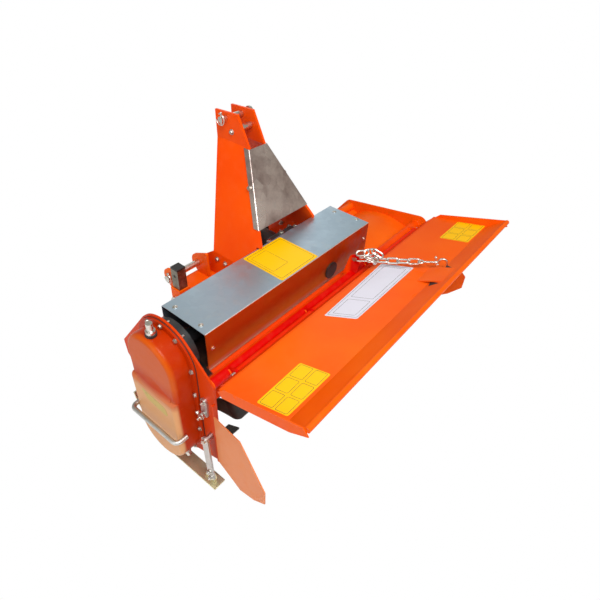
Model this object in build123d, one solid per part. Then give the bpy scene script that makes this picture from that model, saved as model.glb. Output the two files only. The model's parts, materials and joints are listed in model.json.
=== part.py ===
from build123d import *
from math import atan, cos, degrees, hypot, radians, sin, tan
import os

os.makedirs("parts", exist_ok=True)

# Compact three-point-hitch rotary tiller with a side chain drive, in millimetres.
# Working frame: X to the machine's right, Y forward to the tractor, Z up, with the
# rear tube's axis at the left side plate's inner face as zero. The finished pieces
# are moved together at the end, so that the origin is the middle of the footprint
# at ground level.

# ---------------------------------------------------------------- driving sizes
body_width = 1100.0          # between the side plates' inner faces
plate_t = 6.0                # side plates
sheet_t = 3.0                # hood, flap and deflector sheet
fold_t = 8.0                 # mast and hitch plates
ground_z = -450.0            # floor under the skids and the stand

tube_r = 17.0                # front and rear cross tubes
tube_wall = 3.5
front_tube_y = 313.0
front_tube_z = -42.0

drive_y = 154.0              # shaft inside the cover box
drive_z = 26.0
drive_tube_r = 22.0
rotor_z = -270.0             # rotor axis, straight below the drive shaft
blade_tip_r = 173.0
seat_gap = 0.3               # between pieces that seat without a weld

mast_x = 560.0               # middle of mast, gearbox and hitch
mast_foot_z = 35.0           # bend line between leaning mast plate and its foot
mast_foot_half = 172.0       # outer faces from the middle at that bend line
mast_top_half = 38.0         # and along the upright top
pin_y = 450.0                # lower hitch pins
pin_z = -19.0
lower_pin_r = 11.0
mast_height = 457.0          # lower pins to top-link pin
mast_over = 23.0             # mast plates above the top-link pin
top_pin_z = pin_z + mast_height
mast_top_z = top_pin_z + mast_over
mast_bend_z = mast_top_z - 91.0         # the plates stand upright above this bend
top_pin_y = 452.0
top_pin_r = 9.5
pin_clearance = 0.25         # radial, of a hitch pin in its plates


# ---------------------------------------------------------------- small helpers
def side_face(points):
    """Face in the YZ plane from (y, z) corners."""
    return make_face(Polyline(*points, close=True))


def plate_x(face, x, thickness):
    """YZ face thickened along +X from x."""
    return extrude(Plane.YZ.offset(x) * face, thickness)


def rod_x(x0, x1, y, z, r, bore=0.0):
    """Round bar or tube along X."""
    bar = Cylinder(r, x1 - x0)
    if bore:
        bar -= Cylinder(bore, x1 - x0)
    return Pos((x0 + x1) / 2, y, z) * Rot(0, 90, 0) * bar


def rod_y(y0, y1, x, z, r, bore=0.0):
    """Round bar or tube along Y."""
    bar = Cylinder(r, y1 - y0)
    if bore:
        bar -= Cylinder(bore, y1 - y0)
    return Pos(x, (y0 + y1) / 2, z) * Rot(90, 0, 0) * bar


def block(x0, x1, y0, y1, z0, z1):
    """Box between two corners."""
    return Pos((x0 + x1) / 2, (y0 + y1) / 2, (z0 + z1) / 2) * Box(x1 - x0, y1 - y0, z1 - z0)


def disc_face(y, z, r):
    """Round face in side view."""
    return Pos(y, z) * Circle(r)


def hull_face(*circles):
    """Convex outline round circles given as (y, z, radius)."""
    edges = [edge for y, z, r in circles for edge in disc_face(y, z, r).edges()]
    return make_hull(edges)


def bent_sheet(points, radii, thickness, x0, x1):
    """Sheet folded along X: its middle line in side view, with the bends' radii."""
    line = FilletPolyline(*points, radius=radii)
    return plate_x(trace(line, thickness), x0, x1 - x0)


def right_hand(shape, middle=body_width / 2):
    """The same piece on the machine's other side."""
    return mirror(shape, about=Plane.YZ.offset(middle))


pieces = {}                  # node name to shape

# ---------------------------------------------------------------- cross tubes
rear_tube = rod_x(0, body_width, 0, 0, tube_r)        # bored after its lugs are on
pieces["front_tube"] = rod_x(0, body_width, front_tube_y, front_tube_z, tube_r, tube_r - tube_wall)

# ---------------------------------------------------------------- side plates
case_r = 112.0               # chain case flange, round its two centres
case_top_z = 17.0            # upper centre of the chain case
plate_rim = 6.0              # side plate beyond the chain case flange
plate_rear_y = -20.0         # rear edge of the side plates
strip_t = 6.0                # upright strip that stiffens the rear edge
strip_reach = 9.0            # its width, outwards
strip_top_z = -60.0
strip_foot_z = -328.0
front_corner = (377.0, -87.0, 6.0)      # y, z, radius
front_low_corner = (373.0, -139.0, 6.0)
foot_corner = (plate_rear_y + 10.0, strip_foot_z, 10.0)
case_rim = case_r + plate_rim

left_outline = hull_face(
    (drive_y, case_top_z, case_rim),
    (drive_y, rotor_z, case_rim),
    (0.0, -2.0, 20.0),
    foot_corner,
    front_corner,
    front_low_corner,
)
right_outline = hull_face(
    (-14.0, 6.0, 35.0),
    (drive_y, rotor_z, case_rim),
    foot_corner,
    (front_tube_y, front_tube_z, 30.0),
    front_corner,
    front_low_corner,
)
strip = block(-plate_t - strip_reach, -plate_t, plate_rear_y, plate_rear_y + strip_t,
              strip_foot_z, strip_top_z)
pieces["side_plate_left"] = plate_x(left_outline, -plate_t, plate_t) + strip
pieces["side_plate_right"] = plate_x(right_outline, body_width, plate_t) + right_hand(strip)

# side deflectors, flared outwards from the side plates' rear edges
deflector_x = -13.0          # their inner face at the hinge line
deflector_flare = 11.0        # degrees
deflector_outline = side_face([(0, -104), (-124, -72), (-229, -172), (-229, -228), (-181, -280),
                               (-113, -327), (0, -322)])
deflector = Pos(deflector_x, plate_rear_y - 0.5, 0) * Rot(0, 0, -deflector_flare) * plate_x(
    deflector_outline, -sheet_t, sheet_t)
pieces["deflector_left"] = deflector
pieces["deflector_right"] = right_hand(deflector)

# ---------------------------------------------------------------- hood over the rotor
hood_mid = (130.0, -255.0)   # y, z of the centre of its arch
hood_r = 245.0
hood_rear_y = -10.0
hood_arch_front_y = 272.0    # from here it runs straight to the front tube
hood_front = (front_tube_y - 15.0, front_tube_z - 8.0)


def hood_z(y, inward=0.0):
    """Top of the hood's arch at y, or a line further in."""
    return hood_mid[1] + ((hood_r - inward) ** 2 - (y - hood_mid[0]) ** 2) ** 0.5


def hood_edge(inward):
    """Side view of the arch from rear to front, its ends and its crown."""
    return [(y, hood_z(y, inward)) for y in (hood_rear_y, hood_mid[0], hood_arch_front_y)]


top_line, under_line = hood_edge(0.0), hood_edge(sheet_t)
hood_face = make_face([
    ThreePointArc(*top_line),
    Line(top_line[-1], hood_front),
    Line(hood_front, (hood_front[0], hood_front[1] - sheet_t)),
    Line((hood_front[0], hood_front[1] - sheet_t), under_line[-1]),
    ThreePointArc(*reversed(under_line)),
    Line(under_line[0], top_line[0]),
])
hood = plate_x(hood_face, 0, body_width)

# apron from the front tube down along the side plates' front edges
apron_line = bent_sheet([(front_tube_y + tube_r - 4, front_tube_z - tube_r + 2),
                         (front_corner[0] - 4, front_corner[1] - 4),
                         (front_low_corner[0] - 6, front_low_corner[1] - 10)], [8],
                        sheet_t, 0, body_width)

# ---------------------------------------------------------------- chain case
gasket_t = 2.0
flange_t = 6.0
case_wall_r = 94.0           # bulged body
case_shallow = 56.0          # body depth over the upper shaft
case_deep = 66.0             # and over the lower shaft
case_edge = 14.0             # rounding of the outer rim
step_z = -72.0               # where the deeper part begins
flange_x = -plate_t - gasket_t
body_x = flange_x - flange_t


def case_outline(r):
    """Long round outline about the case's two centres."""
    return hull_face((drive_y, case_top_z, r), (drive_y, rotor_z, r))


def bulge(face, depth):
    """Case body outwards from the flange, its outer rim rounded."""
    body = plate_x(face, body_x - depth, depth)
    rim = body.faces().sort_by(Axis.X)[0].edges()
    return fillet(rim, case_edge)


pieces["case_gasket"] = plate_x(case_outline(case_r + 1), -plate_t - gasket_t, gasket_t)
case = plate_x(case_outline(case_r), body_x, flange_t)
case += bulge(case_outline(case_wall_r), case_shallow)
lower_part = make_face([
    Line((drive_y + case_wall_r, rotor_z), (drive_y + case_wall_r, step_z)),
    Line((drive_y + case_wall_r, step_z), (drive_y - case_wall_r, step_z)),
    Line((drive_y - case_wall_r, step_z), (drive_y - case_wall_r, rotor_z)),
    ThreePointArc((drive_y - case_wall_r, rotor_z), (drive_y, rotor_z - case_wall_r),
                  (drive_y + case_wall_r, rotor_z)),
])
case += bulge(lower_part, case_deep)
pieces["chain_case"] = case

plug_x = body_x - 30.0
plug_seat_z = case_top_z + case_wall_r
filler = Pos(plug_x, drive_y, plug_seat_z - 1) * (
    Cylinder(13, 18, align=(Align.CENTER, Align.CENTER, Align.MIN))
    + Cylinder(9, 42, align=(Align.CENTER, Align.CENTER, Align.MIN))) - case
drain_lean = 42.0            # drain plug at the low rear corner, from straight down
drain = Pos(plug_x, drive_y, rotor_z) * Rot(180 - drain_lean, 0, 0) * Pos(0, 0, case_wall_r - 2) * (
    Cylinder(11, 8, align=(Align.CENTER, Align.CENTER, Align.MIN))
    + extrude(RegularPolygon(9, 6), 20)) - case
pieces["case_plugs"] = Compound(filler.solids() + drain.solids())

# guard bar round the case's lower half
bar_r = 7.0
bar_z = -214.0
bar_x = body_x - case_deep - 17.0
bar_end_x = body_x - 46.0
bar_reach = case_wall_r + bar_r
bar_path = FilletPolyline(
    (bar_end_x, drive_y - bar_reach, bar_z),
    (bar_x, drive_y - bar_reach, bar_z),
    (bar_x, drive_y + bar_reach, bar_z),
    (bar_end_x, drive_y + bar_reach, bar_z),
    radius=16.0,
)
bar_section = Plane(origin=bar_path @ 0, z_dir=bar_path % 0) * Circle(bar_r)
pieces["guard_bar"] = sweep(bar_section, path=bar_path)

# ---------------------------------------------------------------- drive line
gear_half = 75.0             # gearbox half width
gear_rear_y = 84.0
gear_front_y = 262.0
gear_low_z = -38.0
gear_top_z = 96.0
neck_r = 46.0
neck_front_y = 372.0
output_flange_t = 12.0
output_flange_r = 56.0
inner_flange_r = 82.0
inner_flange_t = 32.0
cut_margin = 6.0             # hood cut-outs round the castings

gearbox = block(mast_x - gear_half, mast_x + gear_half, gear_rear_y, gear_front_y,
                gear_low_z, gear_top_z)
gearbox = fillet(gearbox.edges().filter_by(Axis.Z), 22)
gearbox = fillet(gearbox.faces().sort_by(Axis.Z)[-1].edges(), 8)
gearbox += rod_y(gear_front_y, neck_front_y, mast_x, drive_z, neck_r)
gearbox += rod_y(neck_front_y - 14, neck_front_y, mast_x, drive_z, neck_r + 12)
for side in (-1, 1):
    face_x = mast_x + side * gear_half
    end_x = face_x + side * output_flange_t
    gearbox += rod_x(min(face_x, end_x), max(face_x, end_x), drive_y, drive_z, output_flange_r)
pieces["gearbox"] = gearbox

drive = rod_x(inner_flange_t, mast_x - gear_half - output_flange_t, drive_y, drive_z, drive_tube_r)
drive += rod_x(0, inner_flange_t, drive_y, drive_z, inner_flange_r)
pieces["drive_tube"] = drive

hood -= block(mast_x - gear_half - output_flange_t - cut_margin,
              mast_x + gear_half + output_flange_t + cut_margin,
              gear_rear_y - cut_margin, gear_front_y + cut_margin, gear_low_z - 30, 30)
hood -= block(-1, inner_flange_t + cut_margin, drive_y - inner_flange_r - cut_margin,
              drive_y + inner_flange_r + cut_margin, gear_low_z - 30, 30)
pieces["hood"] = hood

spline_tip_r = 17.45
spline_root_r = 14.8
spline_w = 8.5
stub_len = 82.0
spline_len = 66.0
spline_count = 6
shaft = Cylinder(spline_root_r, stub_len, align=(Align.CENTER, Align.CENTER, Align.MIN))
tooth = Box(spline_tip_r, spline_w, spline_len, align=(Align.MIN, Align.CENTER, Align.MIN))
for tooth_no in range(spline_count):
    shaft += Pos(0, 0, stub_len - spline_len) * Rot(0, 0, 360 / spline_count * tooth_no) * tooth
shaft &= Cylinder(spline_tip_r, stub_len, align=(Align.CENTER, Align.CENTER, Align.MIN))
shaft -= Pos(0, 0, stub_len - 27) * (Cylinder(30, 7) - Cylinder(spline_root_r, 7))
pieces["pto_stub"] = Pos(mast_x, neck_front_y + seat_gap, drive_z) * Rot(-90, 0, 0) * shaft

guard_r = 62.0
guard_t = 4.0
guard = rod_y(neck_front_y - 14, neck_front_y + stub_len + 6, mast_x, drive_z, guard_r, guard_r - guard_t)
guard += rod_y(neck_front_y - 14, neck_front_y - 4, mast_x, drive_z, guard_r, neck_r + 12)
pieces["pto_guard"] = guard

# ---------------------------------------------------------------- cover box
box_x0 = 44.0
box_x1 = 809.0
box_rear_y = 55.0
box_front_y = 226.0
box_top_z = 111.0
box_t = 2.0
box_lip = 5.0
box_bend = 3.5               # bend radius of the cover's sheet, to its middle line
box_foot_rear_z = hood_z(box_rear_y) + box_t / 2 + seat_gap
box_foot_front_z = hood_z(box_front_y - box_t) + seat_gap
cover_line = FilletPolyline((box_rear_y - box_lip, box_foot_rear_z), (box_rear_y, box_foot_rear_z),
                            (box_rear_y, box_top_z - box_t / 2), (box_front_y, box_top_z - box_t / 2),
                            (box_front_y, box_foot_front_z), radius=box_bend)
cover = plate_x(trace(cover_line, box_t), box_x0, box_x1 - box_x0)
plug_hole = (596.0, 18.0, 27.0)          # x, z, radius of the inspection cap
cover_hole = rod_y(box_rear_y - 5, box_rear_y + 5, plug_hole[0], plug_hole[1], plug_hole[2])
gear_mouth = block(mast_x - gear_half - 3, mast_x + gear_half + 3, box_front_y - 5, box_front_y + 5,
                   gear_low_z, gear_top_z + 3)
pieces["cover_box"] = cover - cover_hole - gear_mouth
cap = rod_y(box_rear_y - 5, box_rear_y - 1, plug_hole[0], plug_hole[1], plug_hole[2] + 3)
cap += rod_y(box_rear_y - 5, box_rear_y + 6, plug_hole[0], plug_hole[1], plug_hole[2] - seat_gap)
pieces["inspection_cap"] = cap

# plate that closes the box's far end, on the hood
end_t = 3.0
end_y0 = box_rear_y + box_t / 2 + seat_gap
end_y1 = box_front_y - box_t / 2 - seat_gap
end_x = box_x1 - 6.0
pieces["box_end"] = block(end_x - end_t, end_x, end_y0, end_y1, hood_z(box_front_y) - 5,
                          box_top_z - box_t - box_bend) - rod_x(
    0, body_width, *hood_mid, hood_r + seat_gap)

# ---------------------------------------------------------------- mast
lean = degrees(atan((mast_foot_half - mast_top_half) / (mast_bend_z - mast_foot_z)))
mast_left_x = mast_x - mast_foot_half
foot_floor_z = -60.0         # top of the hitch beam
beam_y0 = 398.0
beam_y1 = 462.0


def leaning(shape):
    """Stand a plate drawn upright at x = 0 onto the left mast foot's bend line."""
    return Pos(mast_left_x, 0, mast_foot_z) * Rot(0, lean, 0) * shape


def slope_len(z):
    """Length along the leaning plate up to height z."""
    return (z - mast_foot_z) / cos(radians(lean))


edge_low = (238.5, 163.0)    # y, z of the straight rear edge that the shield covers
edge_high = (354.0, mast_bend_z - 2.0)
foot_rear_y = box_front_y + 4.0
foot_front_y = 402.0         # front edge at the foot's bend, the upper bend and the top
bend_front_y = 494.5
top_front_y = 498.0
top_rear_y = 402.0
bend_lap = 4.0               # upright top laps the leaning part inside the bend
lean_face = side_face([(y, slope_len(z)) for y, z in [
    (foot_rear_y, mast_foot_z), (foot_rear_y, box_top_z + 3), (foot_rear_y - 16, box_top_z + 3),
    (foot_rear_y - 16, box_top_z + 12), edge_low, edge_high,      # notched round the cover box
    (edge_high[0] + 1, mast_bend_z), (bend_front_y, mast_bend_z), (foot_front_y, mast_foot_z)]])
top_face = side_face([(edge_high[0] - 1, mast_bend_z - bend_lap), (top_rear_y, mast_top_z),
                      (top_front_y, mast_top_z - 6), (bend_front_y, mast_bend_z - bend_lap)])
foot_face = side_face([(foot_rear_y, mast_foot_z), (foot_front_y, mast_foot_z), (pin_y + 26, pin_z - 2),
                       (beam_y1, foot_floor_z), (beam_y0, foot_floor_z), (350, -50), (331, -45),
                       (300, -40), (290, -14), (foot_rear_y, 10)])
front_tube_solid = rod_x(0, body_width, front_tube_y, front_tube_z, tube_r)
mast_plate = leaning(plate_x(lean_face, 0, fold_t))
mast_plate += plate_x(top_face, mast_x - mast_top_half, fold_t)
mast_plate += plate_x(foot_face, mast_left_x, fold_t) - front_tube_solid
mast_plate -= rod_x(mast_left_x, mast_x, top_pin_y, top_pin_z, top_pin_r + pin_clearance)
pieces["mast_left"] = mast_plate
pieces["mast_right"] = right_hand(mast_plate, mast_x)

# top-link pin with its head
top_pin_half = mast_top_half + 24.0
top_pin = rod_x(mast_x - top_pin_half, mast_x + top_pin_half, top_pin_y, top_pin_z, top_pin_r)
top_pin += rod_x(mast_x + top_pin_half, mast_x + top_pin_half + 8, top_pin_y, top_pin_z, top_pin_r + 6)
pieces["top_link_pin"] = top_pin

spacer_y = 412.0
spacer_z = top_pin_z - 25.0
spacer_half = mast_top_half - fold_t - seat_gap
pieces["mast_spacer"] = rod_x(mast_x - spacer_half, mast_x + spacer_half, spacer_y, spacer_z, 10)

# shield over the mast's rear edges
shield_low_z = edge_low[1]
shield_high_z = edge_high[1]
shield_t = 2.0
shield_bend = 3.0            # outer radius of its folds
shield_flange = 22.0
edge_slope = (edge_high[0] - edge_low[0]) / (edge_high[1] - edge_low[1])


def mast_half(z):
    """Outer half width of the leaning mast at height z."""
    return mast_foot_half - (z - mast_foot_z) * tan(radians(lean))


def edge_y(z):
    """Mast plates' rear edge at height z."""
    return edge_low[0] + (z - edge_low[1]) * edge_slope


def shield_section(z):
    """Flat outlines of the shield at height z, outer and inner, open to the front."""
    half = mast_half(z) + shield_t + 0.8
    rear = edge_y(z) - shield_t - 0.5
    outer = Pos(mast_x, rear + shield_flange / 2, z) * Rectangle(2 * half, shield_flange)
    inner = Pos(mast_x, rear + shield_flange / 2 + shield_t, z) * Rectangle(
        2 * (half - shield_t), shield_flange)
    rear_corners = outer.vertices().sort_by(Axis.Y)[:2]
    return fillet(rear_corners, shield_bend), inner


outer_low, inner_low = shield_section(shield_low_z)
outer_high, inner_high = shield_section(shield_high_z)
pieces["mast_shield"] = loft([outer_low, outer_high]) - loft([inner_low, inner_high])

# ---------------------------------------------------------------- lower hitch
beam_t = 6.0
beam_depth = 54.0
hitch_inner_x = 355.0        # outer face of the inner hitch plate, left side
hitch_outer_x = 235.0
hitch_nose_r = 32.0
hitch_bush_r = 18.0
sleeve_size = 44.0
sleeve_x = 234.0             # middle of the stand sleeve
sleeve_y = 400.0
beam_x0 = sleeve_x + sleeve_size / 2
beam_x1 = 2 * mast_x - hitch_outer_x - fold_t

beam_line = Polyline((beam_y0 + beam_t / 2, foot_floor_z - beam_depth),
                     (beam_y0 + beam_t / 2, foot_floor_z - beam_t / 2),
                     (beam_y1 - beam_t / 2, foot_floor_z - beam_t / 2),
                     (beam_y1 - beam_t / 2, foot_floor_z - beam_depth))
beam = plate_x(trace(beam_line, beam_t), beam_x0, beam_x1 - beam_x0)
arm_face = side_face([(front_tube_y + tube_r - 3, -30), (front_tube_y + tube_r - 3, -60),
                      (beam_y0, foot_floor_z - beam_depth), (beam_y0, foot_floor_z - 8)])
arm_left_x = 300.0           # welded arms from the front tube to the beam
apron = apron_line - front_tube_solid
for arm_x in (arm_left_x, 2 * mast_x - arm_left_x - fold_t):
    beam += plate_x(arm_face, arm_x, fold_t) - front_tube_solid
    apron -= plate_x(offset(arm_face, seat_gap, kind=Kind.INTERSECTION), arm_x - seat_gap,
                     fold_t + 2 * seat_gap)
for foot_x in (mast_left_x, 2 * mast_x - mast_left_x - fold_t):
    apron -= plate_x(offset(foot_face, seat_gap, kind=Kind.INTERSECTION), foot_x - seat_gap,
                     fold_t + 2 * seat_gap)
pieces["front_apron"] = apron
pieces["hitch_beam"] = beam

pin_hole = rod_x(0, body_width, pin_y, pin_z, lower_pin_r + pin_clearance)
inner_lug = plate_x(hull_face((pin_y, pin_z, hitch_nose_r), (foot_front_y + 6, mast_foot_z - 6, 6),
                              (beam_y0 + 12, foot_floor_z + 12, 12),
                              (beam_y1 - 12, foot_floor_z + 12, 12)), hitch_inner_x, fold_t)
inner_lug += rod_x(hitch_inner_x + fold_t, mast_left_x, pin_y, pin_z, hitch_bush_r)
inner_lug -= pin_hole
outer_foot_z = -148.0
outer_lug = plate_x(hull_face((pin_y, pin_z, hitch_nose_r), (pin_y - 14, pin_z - 30, 20)), hitch_outer_x, fold_t)
outer_lug += plate_x(hull_face((pin_y - 16, pin_z - 20, 20), (pin_y - 16, outer_foot_z, 12),
                               (pin_y - 12, outer_foot_z, 12)), hitch_outer_x, fold_t)
outer_right = outer_lug - pin_hole
outer_lug &= block(0, body_width, sleeve_y + sleeve_size / 2, 600, -200, 100)
outer_lug -= pin_hole
pieces["hitch_lugs_left"] = Compound(inner_lug.solids() + outer_lug.solids())
pieces["hitch_lugs_right"] = Compound(right_hand(inner_lug, mast_x).solids()
                                      + right_hand(outer_right, mast_x).solids())
lower_pin = rod_x(hitch_outer_x - 14, mast_left_x - 6, pin_y, pin_z, lower_pin_r)
pieces["lower_pin_left"] = lower_pin
pieces["lower_pin_right"] = right_hand(lower_pin, mast_x)

# ---------------------------------------------------------------- parking stand
sleeve_top_z = -30.0
sleeve_low_z = -160.0
post_size = 33.0
post_wall = 3.0
post_top_z = 45.0
foot_size = 84.0
foot_t = 6.0
sleeve = block(sleeve_x - sleeve_size / 2, sleeve_x + sleeve_size / 2,
               sleeve_y - sleeve_size / 2, sleeve_y + sleeve_size / 2, sleeve_low_z, sleeve_top_z)
bore_half = post_size / 2 + 0.5
sleeve -= block(sleeve_x - bore_half, sleeve_x + bore_half, sleeve_y - bore_half,
                sleeve_y + bore_half, sleeve_low_z - 1, sleeve_top_z + 1)
pieces["stand_sleeve"] = sleeve
half_post = post_size / 2
post = block(sleeve_x - half_post, sleeve_x + half_post, sleeve_y - half_post,
             sleeve_y + half_post, ground_z + foot_t, post_top_z)
post -= block(sleeve_x - half_post + post_wall, sleeve_x + half_post - post_wall,
              sleeve_y - half_post + post_wall, sleeve_y + half_post - post_wall,
              ground_z + foot_t - 1, post_top_z + 1)
post += block(sleeve_x - foot_size / 2, sleeve_x + foot_size / 2, sleeve_y - foot_size / 2,
              sleeve_y + foot_size / 2, ground_z, ground_z + foot_t)
pieces["stand_leg"] = post
pieces["stand_cap"] = block(sleeve_x - half_post, sleeve_x + half_post, sleeve_y - half_post,
                            sleeve_y + half_post, post_top_z, post_top_z + 6)

# ---------------------------------------------------------------- rotor
shaft_r = 20.0
bearing_clearance = 0.05
bearing_r = 60.0
rotor_tube_r = 30.0
rotor_end_gap = 22.0
disc_r = 78.0
disc_t = 8.0
disc_count = 6
disc_first_x = 72.0
blades_per_disc = 4
first_blade_turn = 60.0      # of the first disc's first blade, rearwards from upright
blade_t = 7.0
blade_wing = 66.0

pieces["bearing_left"] = rod_x(0, 18, drive_y, rotor_z, bearing_r, shaft_r + bearing_clearance)
right_bearing = rod_x(body_width + plate_t, body_width + plate_t + 18, drive_y, rotor_z,
                      bearing_r, shaft_r + bearing_clearance)
right_bearing += rod_x(body_width + plate_t + 18, body_width + plate_t + 32, drive_y, rotor_z, 34)
pieces["bearing_right"] = right_bearing
pieces["side_plate_right"] -= rod_x(body_width - 1, body_width + plate_t + 1, drive_y, rotor_z,
                                    shaft_r + 2)
rotor = rod_x(4, body_width + plate_t + 16, drive_y, rotor_z, shaft_r)
rotor += rod_x(rotor_end_gap, body_width - rotor_end_gap, drive_y, rotor_z, rotor_tube_r)
disc_pitch = (body_width - 2 * disc_first_x) / (disc_count - 1)
disc_xs = [disc_first_x + disc_pitch * number for number in range(disc_count)]
for disc_x in disc_xs:
    rotor += rod_x(disc_x - disc_t / 2, disc_x + disc_t / 2, drive_y, rotor_z, disc_r)
pieces["rotor_shaft"] = rotor

# one blade, drawn with the rotor axis at zero, its shank up and its wing towards +X
wing_line = FilletPolyline((0, 44), (0, blade_tip_r - 10), (blade_wing, blade_tip_r - blade_t),
                           radius=18.0)
blade = extrude(Plane.XZ * trace(wing_line, blade_t), 80, both=True)
sweep_face = make_face([
    Line((-22, 40), (22, 40)),
    Line((22, 40), (26, 110)),
    ThreePointArc((26, 110), (20, 150), (2, 185)),
    Line((2, 185), (-56, 185)),
    ThreePointArc((-56, 185), (-34, 130), (-22, 80)),
    Line((-22, 80), (-22, 40)),
])
blade &= extrude(Plane.YZ * sweep_face, 200, both=True)
blade &= Rot(0, 90, 0) * Cylinder(blade_tip_r, 400)
blades = []
for disc_no, disc_x in enumerate(disc_xs):
    for blade_no in range(blades_per_disc):
        side = 1 if blade_no % 2 == 0 else -1
        if disc_no == 0:
            side = 1
        if disc_no == disc_count - 1:
            side = -1
        one = blade if side > 0 else mirror(blade, about=Plane.YZ)
        seat = disc_x + side * (disc_t / 2 + blade_t / 2)
        turn = first_blade_turn + 360 / blades_per_disc * blade_no + 24 * disc_no
        blades.append(Pos(seat, drive_y, rotor_z) * Rot(turn, 0, 0) * one)
pieces["rotor_blades"] = Compound(blades)

# ---------------------------------------------------------------- skids
skid_t = 6.0
skid_x0 = -45.0
skid_x1 = -2.0
sole_z = ground_z + skid_t / 2
skid_lug_t = 6.0
skid_nose = (332.0, -262.0)  # y, z of the skid's upturned end
skid_lug_top_z = front_low_corner[1] + 8.0
skid = bent_sheet([(-22, sole_z), (225, sole_z), (322, -306), skid_nose], [60, 60],
                  skid_t, skid_x0, skid_x1)
skid += plate_x(side_face([(skid_nose[0] - 6, skid_nose[1] - 1), (skid_nose[0] - 26, skid_nose[1] - 1),
                           (skid_nose[0] - 26, skid_lug_top_z), (skid_nose[0] + 8, skid_lug_top_z),
                           (skid_nose[0] + 8, skid_nose[1] - 1)]), -plate_t - skid_lug_t, skid_lug_t)
link_low = (3.0, -415.0)     # y, z of the link's two bolts
link_top = (10.0, -225.0)
heel = hull_face((*link_low, 14), (link_low[0], sole_z + 8, 8), (link_low[0] + 26, sole_z + 8, 8))
skid += plate_x(heel, -28, 6)
pieces["skid_left"] = skid
pieces["skid_right"] = right_hand(skid)
link_r = 13.0
link_out = 28.0              # link's inner face, out from the side plate's inner face
link = plate_x(hull_face((*link_low, link_r), (*link_top, link_r)), -link_out - skid_t, skid_t)
link += rod_x(-link_out, -plate_t, *link_top, 8)
adjuster = plate_x(hull_face((22.0, -80.0, link_r), (24.0, -132.0, link_r)), -plate_t - skid_t, skid_t)
pieces["skid_link_left"] = Compound(link.solids() + adjuster.solids())
pieces["skid_link_right"] = right_hand(pieces["skid_link_left"])

# ---------------------------------------------------------------- flap
hinge_y = -30.0
hinge_z = 16.0
hinge_r = 5.0
hinge_clearance = 0.05
knuckle_r = 9.0
flap_over = 22.0             # flap beyond the side plates' inner faces
fold_front = (-60.0, 50.0)
fold_valley = (-267.0, 97.0)
fold_hem = (-322.0, 138.0)
hem_r = 8.0
lug_t = 8.0
hinge_end = 60.0             # outermost hinge lugs, in from the side plates
hinge_lug_xs = [hinge_end, 380.0, 712.0, body_width - hinge_end - lug_t]

lug_face = hull_face((0, 0, tube_r - 2), (hinge_y, hinge_z, 11))
for lug_at in hinge_lug_xs:
    lug = plate_x(lug_face, lug_at, lug_t)
    rear_tube += lug
rear_tube -= rod_x(0, body_width, hinge_y, hinge_z, hinge_r + hinge_clearance)
pieces["hinge_pin"] = rod_x(hinge_lug_xs[0] - 12, hinge_lug_xs[-1] + lug_t + 12, hinge_y, hinge_z, hinge_r)

panel_line = Polyline(fold_front, fold_valley, fold_hem)
panel = plate_x(trace(panel_line, sheet_t), -flap_over, body_width + 2 * flap_over)
lip_len = hypot(fold_front[0] - hinge_y, fold_front[1] - hinge_z)
lip_start = (hinge_y + (fold_front[0] - hinge_y) * 16 / lip_len,
             hinge_z + (fold_front[1] - hinge_z) * 16 / lip_len)
panel += plate_x(trace(Line(lip_start, fold_front), sheet_t), 0, body_width)
for lug_at, next_lug in zip(hinge_lug_xs, hinge_lug_xs[1:]):    # rolled edge between the lugs
    start = lug_at + lug_t + 1
    end = next_lug - 1
    panel += rod_x(start, end, hinge_y, hinge_z, knuckle_r)
    panel += plate_x(trace(Line((hinge_y, hinge_z), lip_start), sheet_t + 2), start, end - start)
panel -= rod_x(0, body_width, hinge_y, hinge_z, hinge_r + hinge_clearance)
panel += rod_x(-flap_over, body_width + flap_over, fold_hem[0] - 6, fold_hem[1] + 1, hem_r)
cheek_face = side_face([(-58, 43), (-83, 69), (-320, 142), (-335, 122), (-284, 93), (-148, 52), (-73, 31)])
cheek = plate_x(cheek_face, -flap_over - sheet_t, sheet_t)
panel += cheek + right_hand(cheek)
bridge_x0 = 652.0
bridge_x1 = 748.0
panel += plate_x(trace(Line((-230, 89.6), (-305, 125.8)), sheet_t), bridge_x0,
                 bridge_x1 - bridge_x0)
pieces["flap_panel"] = panel

# ---------------------------------------------------------------- chain
chain_lug_x = 643.0          # middle of the chain lug
chain_lug_t = 4.0
chain_lug_r = 18.0
lug_hole = (-4.0, 66.0)      # y, z
lug_hole_r = 9.0
wire_r = 3.0
link_pitch = 34.0
link_width = 25.0
link_gap = 0.3               # between links
lug_play = 0.9               # first link in the lug
link_count = 6
hook_r = 3.5
eye_r = 8.0
hook_at = (758.0, -272.0, 124.0)
hook_bow = 13.0              # radius of the hook's bow
hook_tip = 9.0

chain_turn = degrees(atan((hook_at[0] - chain_lug_x) / (lug_hole[0] - hook_at[1])))
chain_lug = hull_face((0, lug_hole[1], chain_lug_r), (-10, 6, 6), (26, 6, 6)) - Pos(
    0, lug_hole[1]) * Circle(lug_hole_r)
rear_tube += Pos(chain_lug_x, lug_hole[0], 0) * Rot(0, 0, chain_turn) * plate_x(
    chain_lug, -chain_lug_t / 2, chain_lug_t)      # turned to face along the chain
rear_tube -= rod_x(-1, body_width + 1, 0, 0, tube_r - tube_wall)
pieces["rear_tube"] = rear_tube


def round_wire(path, r):
    """Round bar along a path."""
    return sweep(Plane(origin=path @ 0, z_dir=path % 0) * Circle(r), path=path)


def chain_link():
    """Round-wire link along X, lying in the XY plane, its middle at zero."""
    bend_r = link_width / 2 - wire_r
    span = link_pitch + 2 * wire_r + link_gap - 2 * bend_r
    return round_wire(SlotCenterToCenter(span, 2 * bend_r).wire(), wire_r)


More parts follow.
